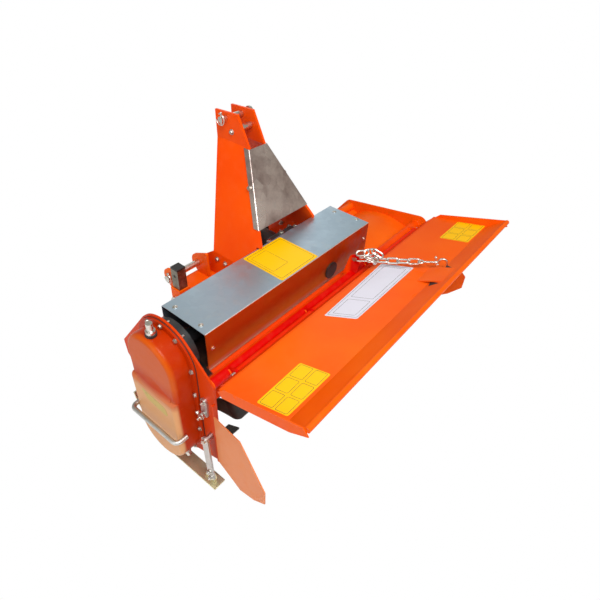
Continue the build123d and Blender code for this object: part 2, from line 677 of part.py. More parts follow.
lug_point = Vector(chain_lug_x, *lug_hole)
hook_point = Vector(*hook_at)
chain_dir = (hook_point - lug_point).normalized()
chain_len = (hook_point - lug_point).length
chain_side = chain_dir.cross(Vector(0, 0, 1)).normalized()
chain_plane = Plane(origin=lug_point, x_dir=chain_dir, z_dir=chain_side.cross(chain_dir))
link_half = (link_pitch + 2 * wire_r + link_gap) / 2        # middle to the end wire's middle
first_link = lug_hole_r - wire_r - lug_play + link_half
links = []
for number in range(link_count):
    roll = 90 * (number % 2)
    links.append(chain_plane * Pos(first_link + link_pitch * number, 0, 0) * Rot(roll, 0, 0) * chain_link())
near_count = 3               # links on the lug's side of the bend over the flap's front edge
pieces["flap_chain"] = Compound(links[:near_count])
pieces["flap_chain_end"] = Compound(links[near_count:])
bend_at = chain_plane.from_local_coords((first_link + link_pitch * (near_count - 1) + link_half, 0, 0))

last_wire = first_link + link_pitch * (link_count - 1) + link_half
eye_at = last_wire - 2 * wire_r - link_gap + eye_r
bow_start = chain_len - 2 * hook_bow
hook = Pos(eye_at, 0, 0) * Torus(eye_r, wire_r)
hook += rod_x(eye_at + eye_r - 1, bow_start, 0, 0, hook_r)
hook += round_wire(ThreePointArc((bow_start, 0, 0), (bow_start + hook_bow, 0, hook_bow),
                                 (chain_len, 0, 0)), hook_r)
hook += Pos(chain_len, 0, 0) * Cylinder(hook_r, hook_tip, align=(Align.CENTER, Align.CENTER, Align.MAX))
keeper_at = bow_start - 8.0  # T-shaped keeper through the shank
hook += Pos(keeper_at, 0, -10) * Cylinder(2.6, 28, align=(Align.CENTER, Align.CENTER, Align.MIN))
hook += Pos(keeper_at, 0, 0) * Sphere(6)
hook += Pos(keeper_at, 0, 18) * Sphere(4.5)
hook += rod_x(keeper_at - 1, keeper_at + 9, 0, -8, 2.4)
pieces["chain_hook"] = chain_plane * hook

# ---------------------------------------------------------------- origin and export
shapes = {name: shape if isinstance(shape, Compound) else Compound([shape]) for name, shape in pieces.items()}
whole = Compound([solid for shape in shapes.values() for solid in shape.solids()]).bounding_box()
origin = Vector((whole.min.X + whole.max.X) / 2, (whole.min.Y + whole.max.Y) / 2, ground_z)

if __name__ == "__main__":
    for name, shape in shapes.items():
        solids = (Pos(-origin.X, -origin.Y, -origin.Z) * shape).solids()
        export_step(Compound(solids) if len(solids) > 1 else solids[0], f"parts/{name}.step")
    print("origin", origin, "size", whole.size)
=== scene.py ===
# Looks for the tiller: paint, zinc, fasteners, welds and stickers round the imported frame
import json
import math

import bpy
import numpy as np
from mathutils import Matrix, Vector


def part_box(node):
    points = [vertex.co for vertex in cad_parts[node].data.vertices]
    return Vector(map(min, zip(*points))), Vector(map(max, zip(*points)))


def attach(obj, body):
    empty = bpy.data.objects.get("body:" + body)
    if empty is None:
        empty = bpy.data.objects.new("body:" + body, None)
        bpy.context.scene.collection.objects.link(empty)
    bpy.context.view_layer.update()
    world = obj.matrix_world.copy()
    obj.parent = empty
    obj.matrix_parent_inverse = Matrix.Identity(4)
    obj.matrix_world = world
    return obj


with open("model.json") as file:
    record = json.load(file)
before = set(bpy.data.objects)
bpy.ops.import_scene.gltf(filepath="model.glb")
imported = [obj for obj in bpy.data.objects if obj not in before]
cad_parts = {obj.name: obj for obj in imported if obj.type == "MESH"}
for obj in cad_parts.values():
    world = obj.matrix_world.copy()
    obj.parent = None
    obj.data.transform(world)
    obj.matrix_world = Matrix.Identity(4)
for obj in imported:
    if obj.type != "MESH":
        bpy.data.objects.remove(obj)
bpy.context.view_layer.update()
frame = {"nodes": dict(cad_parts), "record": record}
nodes = frame["nodes"]
print("frame loaded:", len(nodes), "nodes")

# machine millimetres: x from the rear tube's left end, y forward from its middle, z up from its middle
machine = {"width": 1100.0, "mastX": 560.0, "tube": 17.0, "frontY": 313.0, "frontZ": -42.0,
           "rotorY": 154.0, "rotorZ": -270.0}
tubeLow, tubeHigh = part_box("front_tube")
zero = np.array([tubeLow.x, (tubeLow.y + tubeHigh.y) / 2 - machine["frontY"] / 1000,
                 (tubeLow.z + tubeHigh.z) / 2 - machine["frontZ"] / 1000])


def place(points):
    # machine millimetres to metres in the frame
    return np.asarray(points, float) * 0.001 + zero


def mirrored(x):
    # the same place at the right side plate
    return machine["width"] - x


# camera and lamps: the camera's place is in machine millimetres, the lamps' in metres
cameraSet = {"at": (-489.8, -640.0, 961.6), "turn": (49.4933, -3.6839, -51.7273), "lens": 28.142,
             "sensor": 36.0, "shiftX": -0.01842, "shiftY": 0.00417, "nearest": 0.02}
camera = bpy.data.cameras.new("camera")
camera.lens = cameraSet["lens"]
camera.sensor_width = cameraSet["sensor"]
camera.shift_x = cameraSet["shiftX"]
camera.shift_y = cameraSet["shiftY"]
camera.clip_start = cameraSet["nearest"]
eye = bpy.data.objects.new("camera", camera)
eye.location = place(cameraSet["at"])
eye.rotation_euler = [math.radians(angle) for angle in cameraSet["turn"]]
bpy.context.scene.collection.objects.link(eye)
bpy.context.scene.camera = eye
bpy.context.scene.view_settings.view_transform = "Standard"

lampAim = (0.0, 0.0, 0.4)
lampSet = {
    "overhead": {"at": (-0.9, -1.3, 3.1), "size": 1.8, "watts": 90},
    "leftSide": {"at": (-3.2, 0.2, 1.5), "size": 2.0, "watts": 26},
    "rearSide": {"at": (1.2, -3.2, 1.8), "size": 2.0, "watts": 7},
    "frontSide": {"at": (2.4, 2.6, 2.4), "size": 2.0, "watts": 12},
}
for lampName, lampData in lampSet.items():
    lamp = bpy.data.lights.new(lampName, "AREA")
    lamp.size = lampData["size"]
    lamp.energy = lampData["watts"]
    lampObject = bpy.data.objects.new(lampName, lamp)
    lampObject.location = lampData["at"]
    back = np.array(lampData["at"]) - np.array(lampAim)
    tilt = math.acos(back[2] / np.linalg.norm(back))
    lampObject.rotation_euler = (tilt, 0, math.atan2(back[1], back[0]) + math.pi / 2)
    bpy.context.scene.collection.objects.link(lampObject)
print("camera and lamps ready")


# shader helpers
class Level:
    # one number socket: + - and * add the Math nodes for an expression
    def __init__(self, finish, socket):
        self.finish = finish
        self.socket = socket

    def calc(self, operation, first, second, clamp=False):
        settings = {"operation": operation, "use_clamp": clamp}
        return self.finish.add("ShaderNodeMath", settings, [first, second])

    def __add__(self, other):
        return self.calc("ADD", self, other)

    __radd__ = __add__

    def __mul__(self, other):
        return self.calc("MULTIPLY", self, other)

    __rmul__ = __mul__

    def __sub__(self, other):
        return self.calc("SUBTRACT", self, other)

    def __rsub__(self, other):
        return self.calc("SUBTRACT", other, self)

    def above(self, edge, soft):
        # 0 under the edge, 1 over it, with a soft step
        return self.calc("MULTIPLY", self - (edge - soft / 2), 1 / soft, clamp=True)


class Finish:
    # one material: add() makes any node, from its settings and then its inputs
    def __init__(self, name, **sockets):
        self.material = bpy.data.materials.new(name)
        self.material.use_nodes = True
        self.tree = self.material.node_tree
        self.shader = self.tree.nodes["Principled BSDF"]
        self.coords = self.add("ShaderNodeTexCoord", {}, [], "Object")
        self.out(**sockets)

    def feed(self, socket, value):
        if isinstance(value, Level):
            self.tree.links.new(value.socket, socket)
        elif isinstance(value, tuple) and len(value) == 3 and socket.type == "RGBA":
            socket.default_value = (*value, 1.0)
        else:
            socket.default_value = value

    def add(self, kind, settings, inputs, output=0):
        node = self.tree.nodes.new(kind)
        for key, value in settings.items():
            setattr(node, key, value)
        pairs = inputs.items() if isinstance(inputs, dict) else enumerate(inputs)
        for key, value in pairs:
            self.feed(node.inputs[key], value)
        return Level(self, node.outputs[output])

    def noise(self, scale, detail=3.0, rough=0.5, where=None):
        return self.add("ShaderNodeTexNoise", {}, {"Vector": where or self.coords, "Scale": scale,
                                                   "Detail": detail, "Roughness": rough})

    def spangle(self, scale):
        # one grey level for each crystal cell
        cells = self.add("ShaderNodeTexVoronoi", {}, {"Vector": self.coords, "Scale": scale}, "Color")
        return self.add("ShaderNodeSeparateColor", {}, [cells])

    def side(self, axis, edge, soft, way):
        # share from 0 to 1 across a plane at edge machine millimetres on the axis; way is +1 or -1
        number = "XYZ".index(axis)
        part = self.add("ShaderNodeSeparateXYZ", {}, [self.coords], number)
        share = (part - (edge * 0.001 + float(zero[number]))) * (way * 1000.0 / soft)
        return share.calc("ADD", share, 0.5, clamp=True)

    def stretched(self, scale):
        # coordinates pulled out along some axes, for brushed and rolled marks
        return self.add("ShaderNodeMapping", {}, {"Vector": self.coords, "Scale": scale})

    def blend(self, share, first, second):
        return self.add("ShaderNodeMix", {"data_type": "RGBA"}, {0: share, 6: first, 7: second}, 2)

    def bump(self, height, strength, distance):
        return self.add("ShaderNodeBump", {}, {"Height": height, "Strength": strength, "Distance": distance})

    def out(self, **sockets):
        for socket, value in sockets.items():
            self.feed(self.shader.inputs[socket.replace("_", " ")], value)
        return self.material


def orangePaint(name, base=(0.92, 0.135, 0.002), deep=(0.84, 0.085, 0.001), peel=0.04, paintedLightPatches=(), rough=0.36):
    # machine enamel: slow shade changes, orange peel, dust and fine scuffs; a painted light patch is an area
    # painted in another colour for light, shade or a reflection, given by its bounds (axis, edge, softness,
    # way), its colour and its share
    finish = Finish(name, Coat_Weight=0.05, Coat_Roughness=0.12, IOR=1.2)
    slow = finish.noise(5.0, 2.0)
    fine = finish.noise(420.0, 2.0)
    dust = finish.noise(34.0, 6.0, 0.65).above(0.60, 0.25)
    scuff = finish.noise(90.0, 4.0, 0.7, finish.stretched((0.35, 1.0, 1.0))).above(0.66, 0.06)
    tone = finish.blend(slow.above(0.5, 0.5), deep, base)
    # painted light, shade and reflection, laid over the enamel's tone one patch after another
    for paintedLightPatch in paintedLightPatches:
        cover = 1.0
        for bound in paintedLightPatch["bounds"]:
            cover = finish.side(*bound) * cover
        tone = finish.blend(cover * paintedLightPatch["share"], tone, paintedLightPatch["colour"])
    tone = finish.blend(dust * 0.03, tone, (0.95, 0.42, 0.16))
    tone = finish.blend(scuff * 0.06, tone, (0.98, 0.32, 0.09))
    return finish.out(Base_Color=tone, Roughness=rough + dust * 0.12 + scuff * 0.12,
                      Normal=finish.bump(fine * 0.6 + slow * 0.4, peel, 0.0006))


def zincSheet(name, base, dull, smooth, spangleScale, smear, reflection=None):
    # hot-dip galvanised sheet: crystal spangle, handling smears and rolling lines
    finish = Finish(name, Metallic=1.0)
    warp = finish.noise(18.0, 3.0)
    spangle = finish.spangle(spangleScale)
    smears = finish.noise(9.0, 5.0, 0.6).above(0.52, 0.3)
    rolled = finish.noise(60.0, 2.0, 0.5, finish.stretched((0.08, 1.0, 1.0)))
    stain = finish.noise(22.0, 6.0, 0.7).above(0.62, 0.12)
    tone = finish.blend(spangle * 0.35 + smears * smear * 0.4, base, dull)
    tone = finish.blend(stain * 0.18, tone, (0.75, 0.76, 0.76))
    if reflection:      # the wall that faces the painted flap
        wall = finish.side("Y", reflection["edge"], 1.0, -1)
        low = finish.side("Z", reflection["foot"], 12.0, -1)
        patches = finish.noise(14.0, 4.0, 0.6).above(0.5, 0.2)
        far = finish.side("X", reflection["far"], 190.0, 1) * patches
        glint = finish.blend(far * 0.7, reflection["colour"], (0.42, 0.33, 0.32))
        tone = finish.blend(wall, tone, finish.blend(low * 0.6, glint, (0.62, 0.30, 0.27)))
    return finish.out(Base_Color=tone, Roughness=smooth + spangle * 0.09 + smears * 0.12 + rolled * 0.05,
                      Normal=finish.bump(spangle * 0.25 + warp * 0.6 + rolled * 0.2, 0.07, 0.001))


def brightZinc(name, base=(0.78, 0.77, 0.73), smooth=0.22):
    # electroplated steel of chain, bolts and pins: bright with faint yellow and grey patches
    finish = Finish(name, Metallic=1.0)
    patch = finish.noise(60.0, 4.0, 0.6).above(0.55, 0.3)
    pits = finish.noise(520.0, 3.0, 0.6)
    tone = finish.blend(patch * 0.5, base, (0.55, 0.53, 0.47))
    return finish.out(Base_Color=tone, Roughness=smooth + patch * 0.16 + pits * 0.06,
                      Normal=finish.bump(pits, 0.12, 0.0004))


def blackPaint(name, base=(0.016, 0.017, 0.019), cast=0.35):
    # satin black over a cast skin, with grey rubbing and dust
    finish = Finish(name, Coat_Weight=0.25, Coat_Roughness=0.2)
    skin = finish.noise(260.0, 4.0, 0.6)
    dust = finish.noise(26.0, 6.0, 0.65).above(0.56, 0.25)
    tone = finish.blend(dust * 0.16, base, (0.12, 0.115, 0.11))
    return finish.out(Base_Color=tone, Roughness=0.38 + dust * 0.2 + skin * 0.08,
                      Normal=finish.bump(skin, cast, 0.0008))


def blackPlastic(name):
    # moulded plastic with a fine spark-eroded grain
    finish = Finish(name)
    grain = finish.noise(900.0, 2.0)
    haze = finish.noise(30.0, 4.0).above(0.55, 0.3)
    return finish.out(Base_Color=finish.blend(haze * 0.15, (0.014, 0.014, 0.015), (0.08, 0.08, 0.08)),
                      Roughness=0.42 + haze * 0.15, Normal=finish.bump(grain, 0.18, 0.0003))


def filmSticker(name, tone, worn, wear=0.12):
    # printed vinyl film: faint rubbing and specks of dust
    finish = Finish(name, Coat_Weight=0.08, Coat_Roughness=0.12, IOR=1.25)
    rub = finish.noise(40.0, 6.0, 0.7).above(0.62, 0.16)
    speck = finish.noise(700.0, 2.0).above(0.68, 0.05)
    return finish.out(Base_Color=finish.blend(rub * wear + speck * 0.08, tone, worn),
                      Roughness=0.34 + rub * 0.14, Normal=finish.bump(rub, 0.05, 0.0003))


def gasketRubber(name):
    # matt black rubber with a slightly grey grain
    finish = Finish(name)
    grain = finish.noise(300.0, 3.0)
    return finish.out(Base_Color=finish.blend(grain, (0.012, 0.012, 0.012), (0.03, 0.03, 0.03)),
                      Roughness=0.6 + grain * 0.15, Normal=finish.bump(grain, 0.2, 0.0004))


# painted light patches: a brighter orange head (painted light) and a pale tan foot (painted reflection) on
# the case, the rear tube's red as a painted reflection with orange on its front and right end, red painted
# reflection at the flap's front fold and the hood's rear edge, and painted shade, near black, on the hood in
# and beside the cover box
# painted light on the case's outer face: a brighter orange on its head, and a pale tan painted reflection on
# its foot
casePaintedLight = [
    {"bounds": [("X", -60.0, 12.0, -1), ("Z", -40.0, 60.0, 1)],
     "colour": (0.60, 0.095, 0.003), "share": 0.85},
    {"bounds": [("X", -66.0, 8.0, -1), ("Z", -80.0, 40.0, -1)], "colour": (0.72, 0.40, 0.18), "share": 0.85}]
# the rear tube's red is a painted reflection of the orange round it; these patches keep an orange on its
# front half and right end
tubeReflectionLimits = [
    {"bounds": [("Y", 5.0, 8.0, 1)], "colour": (0.90, 0.075, 0.0), "share": 0.8},
    {"bounds": [("X", 820.0, 200.0, 1)], "colour": (0.90, 0.085, 0.0), "share": 0.85}]
# painted reflection: the rear tube's red on the flap's front fold
flapPaintedReflection = [{"bounds": [("Y", -54.0, 34.0, 1)], "colour": (0.72, 0.014, 0.0), "share": 0.95}]
# painted shade: near black, for the hood where it lies in shade in and beside the cover box
paintedShade = {"colour": (0.008, 0.01, 0.01), "share": 0.98}
# the hood: red painted reflection along its rear edge, and painted shade in and beside the cover box
hoodReflectionAndShade = [
    {"bounds": [("Y", 52.0, 6.0, -1), ("X", 820.0, 60.0, -1)], "colour": (0.74, 0.04, 0.0), "share": 0.9},
    {"bounds": [("X", 46.0, 5.0, -1), ("Y", 40.0, 8.0, 1), ("Y", 232.0, 6.0, -1)], **paintedShade},
    {"bounds": [("X", 700.0, 40.0, -1), ("Y", 64.0, 6.0, 1), ("Y", 218.0, 6.0, -1)], **paintedShade}]
boxReflection = {"edge": 56.0, "foot": -10.0, "far": 640.0, "colour": (0.58, 0.165, 0.015)}
finishes = {
    "orange": orangePaint("orangeEnamel"),
    "mastOrange": orangePaint("mastEnamel", (0.92, 0.088, 0.0), (0.86, 0.055, 0.0)),
    # the rear tube: red painted reflection, with orange on its front half and right end
    "tubeReflectionRed": orangePaint("tubeReflectionEnamel", (0.66, 0.001, 0.0), (0.58, 0.0, 0.0), paintedLightPatches=tubeReflectionLimits),
    # the chain case: painted light on its head and a painted reflection on its foot
    "caseOrange": orangePaint("caseEnamel", (0.54, 0.038, 0.0), (0.42, 0.02, 0.0), 0.05, casePaintedLight, 0.3),
    "flapOrange": orangePaint("flapEnamel", paintedLightPatches=flapPaintedReflection),
    # the hood: red painted reflection on its rear edge, painted shade in and beside the cover box
    "hoodOrange": orangePaint("hoodEnamel", (0.92, 0.15, 0.004), (0.86, 0.10, 0.002), paintedLightPatches=hoodReflectionAndShade),
    "plateOrange": orangePaint("plateEnamel", (0.70, 0.055, 0.0), (0.60, 0.035, 0.0)),
    "deflectorTan": orangePaint("deflectorEnamel", (0.80, 0.27, 0.095), (0.74, 0.22, 0.075)),
    "boxZinc": zincSheet("boxZinc", (0.56, 0.72, 0.86), (0.48, 0.62, 0.75), 0.34, 55.0, 0.4, boxReflection),
    "shieldZinc": zincSheet("shieldZinc", (0.95, 0.83, 0.79), (0.30, 0.22, 0.20), 0.22, 34.0, 2.1),
    "stripZinc": zincSheet("stripZinc", (0.66, 0.67, 0.66), (0.5, 0.5, 0.48), 0.28, 70.0, 0.4),
    "skidZinc": zincSheet("skidZinc", (0.86, 0.84, 0.56), (0.66, 0.58, 0.46), 0.36, 60.0, 0.7),
    "zinc": brightZinc("brightZinc"),
    "boltZinc": brightZinc("boltZinc", (0.52, 0.49, 0.45), 0.3),
    # near-white zinc for the painted highlight on the cover box's rear fold
    "edgeZinc": brightZinc("edgeZinc", (0.93, 0.94, 0.96), 0.42),
    "postSteel": brightZinc("postSteel", (0.20, 0.19, 0.15), 0.36),
    "black": blackPaint("blackPaint"),
    "blade": blackPaint("bladePaint", (0.02, 0.02, 0.022), 0.2),
    "plastic": blackPlastic("blackPlastic"),
    "gasket": gasketRubber("gasketRubber"),
    "yellow": filmSticker("yellowFilm", (0.95, 0.53, 0.0), (0.72, 0.46, 0.04)),
    "white": filmSticker("whiteFilm", (0.68, 0.68, 0.78), (0.52, 0.52, 0.58)),
    "ink": filmSticker("darkInk", (0.03, 0.03, 0.03), (0.12, 0.1, 0.06)),
    "worn": filmSticker("wornFilm", (0.56, 0.40, 0.10), (0.30, 0.23, 0.12), 0.7),
}
slotFinish = {"orange_paint": "orange", "black_paint": "black", "black_plastic": "plastic",
              "galvanised_steel": "stripZinc", "zinc_plate": "zinc", "gasket": "gasket"}
nodeFinish = {"cover_box": "boxZinc", "mast_shield": "shieldZinc", "rotor_blades": "blade",
              "rotor_shaft": "blade", "rear_tube": "tubeReflectionRed", "hood": "hoodOrange",
              "flap_panel": "flapOrange", "mast_left": "mastOrange", "mast_right": "mastOrange",
              "chain_case": "caseOrange",
              "side_plate_left": "plateOrange", "deflector_left": "deflectorTan", "skid_left": "skidZinc",
              "skid_right": "skidZinc", "stand_leg": "postSteel"}
nodeSlot = {part["node"]: part["material_slot"] for part in frame["record"]["subparts"]}
for nodeName, node in nodes.items():
    node.data.materials.clear()
    node.data.materials.append(finishes[nodeFinish.get(nodeName) or slotFinish[nodeSlot[nodeName]]])
print("finishes ready")


# mesh helpers
def newPiece(name, points, faces, body, finish, slot, smoothAngle=0.6):
    # points in machine millimetres; the object stays at the origin
    mesh = bpy.data.meshes.new(name)
    mesh.from_pydata(place(points).tolist(), [], [list(map(int, face)) for face in faces])
    mesh.validate()
    mesh.polygons.foreach_set("use_smooth", np.ones(len(mesh.polygons), bool))
    mesh.set_sharp_from_angle(angle=smoothAngle)
    mesh.materials.append(finishes[finish])
    piece = bpy.data.objects.new(name, mesh)
    bpy.context.scene.collection.objects.link(piece)
    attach(piece, body)


def tubeFaces(rings, sides, closed=False, flip=False):
    # quads between rings stored one after another, and the two end faces unless the rings form a loop
    ringIds = np.arange(rings if closed else rings - 1)
    r, c = [grid.ravel() for grid in np.meshgrid(ringIds, np.arange(sides), indexing="ij")]
    rNext, cNext = (r + 1) % rings, (c + 1) % sides
    corners = [r * sides + c, rNext * sides + c, rNext * sides + cNext, r * sides + cNext]
    faces = np.stack(corners, 1).tolist()
    if not closed:
        faces += [list(range(sides)), list(range((rings - 1) * sides, rings * sides))[::-1]]
    return [face[::-1] for face in faces] if flip else faces


def unit(v):
    v = np.asarray(v, float)
    return v / np.linalg.norm(v, axis=-1, keepdims=True)


def squareTo(axis):
    # two directions square to a unit axis and to each other
    helper = np.array([0.0, 0.0, 1.0]) if abs(axis[2]) < 0.9 else np.array([0.0, 1.0, 0.0])
    across = unit(np.cross(helper, axis))
    return across, np.cross(axis, across)


def lathe(profile, centre, axis, sides, turn=0.0):
    # each row (height, radius) of the profile is a ring round the axis: centre + axis * height
    # + radius * (cosine * across + sine * other)
    axis = unit(axis)
    across, other = squareTo(axis)
    height, radius = np.asarray(profile, float).T
    angle = np.arange(sides) * 2 * np.pi / sides + turn
    ring = np.cos(angle)[:, None] * across + np.sin(angle)[:, None] * other
    points = np.asarray(centre, float) + height[:, None, None] * axis + radius[:, None, None] * ring
    return points.reshape(-1, 3), tubeFaces(len(height), sides, flip=True)


def join(shapes):
    # several (points, faces) as one
    points, faces, count = [], [], 0
    for shapePoints, shapeFaces in shapes:
        points.append(shapePoints)
        faces += [[index + count for index in face] for face in shapeFaces]
        count += len(shapePoints)
    return np.concatenate(points), faces


def sweepTube(path, radius, closed=False, upward=(0.0, 0.0, 1.0)):
    # an eight-sided ring carried along the path, square to it: path + radius * (cosine * side
    # + sine * over); radius may be one value per path point, and upward is never along the path
    sides = 8
    path = np.asarray(path, float)
    if closed:
        tangent = np.roll(path, -1, 0) - np.roll(path, 1, 0)
    else:
        tangent = np.gradient(path, axis=0)
    tangent = unit(tangent)
    side = unit(np.cross(tangent, upward))
    over = np.cross(side, tangent)
    angle = np.arange(sides) * 2 * np.pi / sides
    radius = np.broadcast_to(np.asarray(radius, float), (len(path),))
    ring = np.cos(angle)[:, None] * side[:, None, :] + np.sin(angle)[:, None] * over[:, None, :]
    points = path[:, None, :] + radius[:, None, None] * ring
    return points.reshape(-1, 3), tubeFaces(len(path), sides, closed)


# bolt and nut sizes: across flats, head height, washer radius, washer thickness, thread end that shows
hexSizes = {"caseBolt": (10.5, 4.4, 7.4, 1.3, 0.0), "caseNut": (10.5, 5.0, 7.4, 1.3, 7.0),
            "mastBolt": (12.0, 5.5, 9.0, 1.6, 0.0), "footBolt": (13.0, 5.5, 9.0, 1.6, 0.0),
            "footNut": (13.0, 6.5, 9.0, 1.6, 6.0), "plateBolt": (13.0, 5.5, 9.5, 1.8, 3.0),
            "studNut": (15.0, 6.0, 10.5, 1.8, 0.0), "linkBolt": (14.0, 5.5, 10.0, 1.8, 3.5),
            "bladeBolt": (11.0, 5.0, 7.0, 1.2, 0.0), "bladeNut": (11.0, 6.0, 7.0, 1.2, 4.0),
            "bearingBolt": (13.0, 5.5, 9.0, 1.6, 2.5), "gearBolt": (13.0, 5.5, 9.0, 1.6, 0.0),
            "guardBolt": (10.0, 4.0, 7.5, 1.6, 0.0)}


def hexBolt(kind, centre, axis, turn=0.2):
    # washer disc, six-sided head with its top corners turned off, and the thread's end when it shows
    across, height, washer, washerT, stub = hexSizes[kind]
    corner = across / math.sqrt(3)
    top = washerT + height
    washerRings = [(0, washer), (washerT * 0.7, washer), (washerT, washer - 0.4)]
    headRings = [(washerT, corner), (washerT + height * 0.72, corner), (top, corner * 0.84)]
    shapes = [lathe(washerRings, centre, axis, 20), lathe(headRings, centre, axis, 6, turn)]
    if stub:
        thread = across * 0.3
        threadRings = [(top - 1, thread), (top + stub - 1, thread), (top + stub, thread - 0.8)]
        shapes.append(lathe(threadRings, centre, axis, 12))
    return join(shapes)


def panHead(centre, axis, radius=5.0, height=3.0):
    # washer, domed head and its recess, turned as one profile
    rings = [(0, radius + 2.2), (1.0, radius + 2.2), (1.3, radius + 1.6), (1.3, radius),
             (height * 0.7, radius * 0.95), (height, radius * 0.62), (height, radius * 0.36),
             (height * 0.55, radius * 0.3)]
    return lathe(rings, centre, axis, 16)


def hoop(centre, normal, radius, wire, first=0.0, last=360.0, steps=28):
    # round wire on a circle, or a part of one, square to the normal
    normal = unit(normal)
    across, other = squareTo(normal)
    whole = last - first >= 360
    angle = np.radians(np.linspace(first, last, steps, endpoint=not whole))[:, None]
    path = np.asarray(centre, float) + radius * (np.cos(angle) * across + np.sin(angle) * other)
    return sweepTube(path, wire, closed=whole, upward=normal)


def rod(start, end, radius, sides=12):
    # round bar with a small chamfer at both ends
    start, end = np.asarray(start, float), np.asarray(end, float)
    length = float(np.linalg.norm(end - start))
    chamfer = radius * 0.2
    rings = [(0, radius * 0.8), (chamfer, radius), (length - chamfer, radius), (length, radius * 0.8)]
    return lathe(rings, start, end - start, sides)


def weldBead(path, width, upward=(0.0, 0.0, 1.0), ripple=3.4, depth=0.16, spacing=1.1):
    # a tube along the path whose radius rises and falls once per ripple: width * (1 + depth * the
    # sine's size - half the depth), with a ring at about every spacing
    path = np.asarray(path, float)
    step = np.concatenate([[0], np.cumsum(np.linalg.norm(np.diff(path, axis=0), axis=1))])
    along = np.linspace(0, step[-1], max(6, int(step[-1] / spacing)))
    fine = np.stack([np.interp(along, step, path[:, i]) for i in range(3)], 1)
    wave = 1 + depth * np.abs(np.sin(np.pi * along / ripple)) - depth / 2
    return sweepTube(fine, width * wave, upward=upward)


def arcPath(x, y, z, radius, first, last, steps=30):
    # arc square to X; 0 degrees points forward, 90 up
    angle = np.radians(np.linspace(first, last, steps))
    return np.stack([np.full(steps, float(x)), y + radius * np.cos(angle), z + radius * np.sin(angle)], 1)


print("helpers ready")

# bolts round the chain case: heads outside, nuts and thread ends inside
caseBoltSet = {"outX": -14.0, "inX": 0.0, "topZ": 17.0, "radius": 103.0,
               "sideZ": (24.0, -69.0, -147.0, -225.0),
               "topArc": (58.0, 90.0, 122.0), "footArc": (51.6, 90.0, 128.4),
               "headTurn": 0.3, "nutTurn": 0.5}
boltRadius = caseBoltSet["radius"]
caseSpots = [(machine["rotorY"] + side * boltRadius, z) for side in (-1, 1) for z in caseBoltSet["sideZ"]]
for arc, middleZ, way in (("topArc", caseBoltSet["topZ"], 1), ("footArc", machine["rotorZ"], -1)):
    for angle in np.radians(caseBoltSet[arc]):
        y = machine["rotorY"] + boltRadius * math.cos(angle)
        caseSpots.append((y, middleZ + way * boltRadius * math.sin(angle)))
caseHeads = [hexBolt("caseBolt", (caseBoltSet["outX"], y, z), (-1, 0, 0), caseBoltSet["headTurn"] * i)
             for i, (y, z) in enumerate(caseSpots)]
newPiece("caseBolts", *join(caseHeads), "frame", "boltZinc", "zinc_plate")
caseNuts = [hexBolt("caseNut", (caseBoltSet["inX"], y, z), (1, 0, 0), caseBoltSet["nutTurn"] * i)
            for i, (y, z) in enumerate(caseSpots)]
newPiece("caseNuts", *join(caseNuts), "frame", "zinc", "zinc_plate")

# chain case: the pressed slope that carries the outer face over its step; along each rib z runs evenly from
# the deep face's foot to a wavy crest, and x follows a smooth step, 3 t^2 - 2 t^3, from deep to shallow
pressSet = {"deepX": -80.3, "shallowX": -69.8, "backX": -62.0, "footZ": -94.0, "ribs": 30, "steps": 14,
            "crest": ((82.0, -60.0), (110.0, -46.0), (158.0, -22.0), (200.0, -44.0), (226.0, -60.0))}
crestY, crestZ = np.array(pressSet["crest"]).T
ribY = np.linspace(crestY[0], crestY[-1], pressSet["ribs"])
ribTop = np.convolve(np.pad(np.interp(ribY, crestY, crestZ), 3, "edge"), np.ones(7) / 7, "valid")
t = np.linspace(0, 1, pressSet["steps"])
slopeX = pressSet["deepX"] + (pressSet["shallowX"] - pressSet["deepX"]) * (3 * t ** 2 - 2 * t ** 3)
slopeZ = pressSet["footZ"] + (ribTop[:, None] - pressSet["footZ"]) * t
ribX = np.append(slopeX, [pressSet["backX"]] * 2)      # two more points of each rib, behind the face
ribZ = np.column_stack([slopeZ, ribTop, np.full_like(ribTop, pressSet["footZ"])])
pressPoints = np.stack(np.broadcast_arrays(ribX, ribY[:, None], ribZ), -1).reshape(-1, 3)
newPiece("casePressing", pressPoints, tubeFaces(pressSet["ribs"], pressSet["steps"] + 2, flip=True), "frame",
         "caseOrange", "orange_paint", smoothAngle=0.5)
print("chain case dressed")

# cover box: a painted highlight along its rear fold, as a near-white rod
highlightSet = {"x": (45.0, 808.0), "y": 55.2, "z": 110.6, "radius": 1.3}
highlightEnds = [(x, highlightSet["y"], highlightSet["z"]) for x in highlightSet["x"]]
newPiece("boxEdgeHighlight", *rod(*highlightEnds, highlightSet["radius"], sides=10), "frame", "edgeZinc", "zinc_plate")

# filler plug: knurled black collar
fillerSet = {"at": (-44.0, 154.0, 110.5), "knurls": 28, "radius": 15.2, "height": 8.0, "edge": 1.0,
             "taper": 1.5, "knurlDepth": 0.7}
collarSides = fillerSet["knurls"] * 2
collarRings = [(0, fillerSet["radius"]), (fillerSet["height"], fillerSet["radius"]),
               (fillerSet["height"] + fillerSet["edge"], fillerSet["radius"] - fillerSet["taper"])]
collarPoints, collarFaces = lathe(collarRings, fillerSet["at"], (0, 0, 1), collarSides)
outward = collarPoints - np.asarray(fillerSet["at"])
outward[:, 2] = 0      # every second column of points is pulled in, which makes the knurls
pulled = np.tile(np.arange(collarSides) % 2, len(collarRings)) * fillerSet["knurlDepth"]
collarPoints -= unit(outward) * pulled[:, None]
newPiece("fillerCollar", collarPoints, collarFaces, "frame", "plastic", "black_plastic", smoothAngle=0.3)

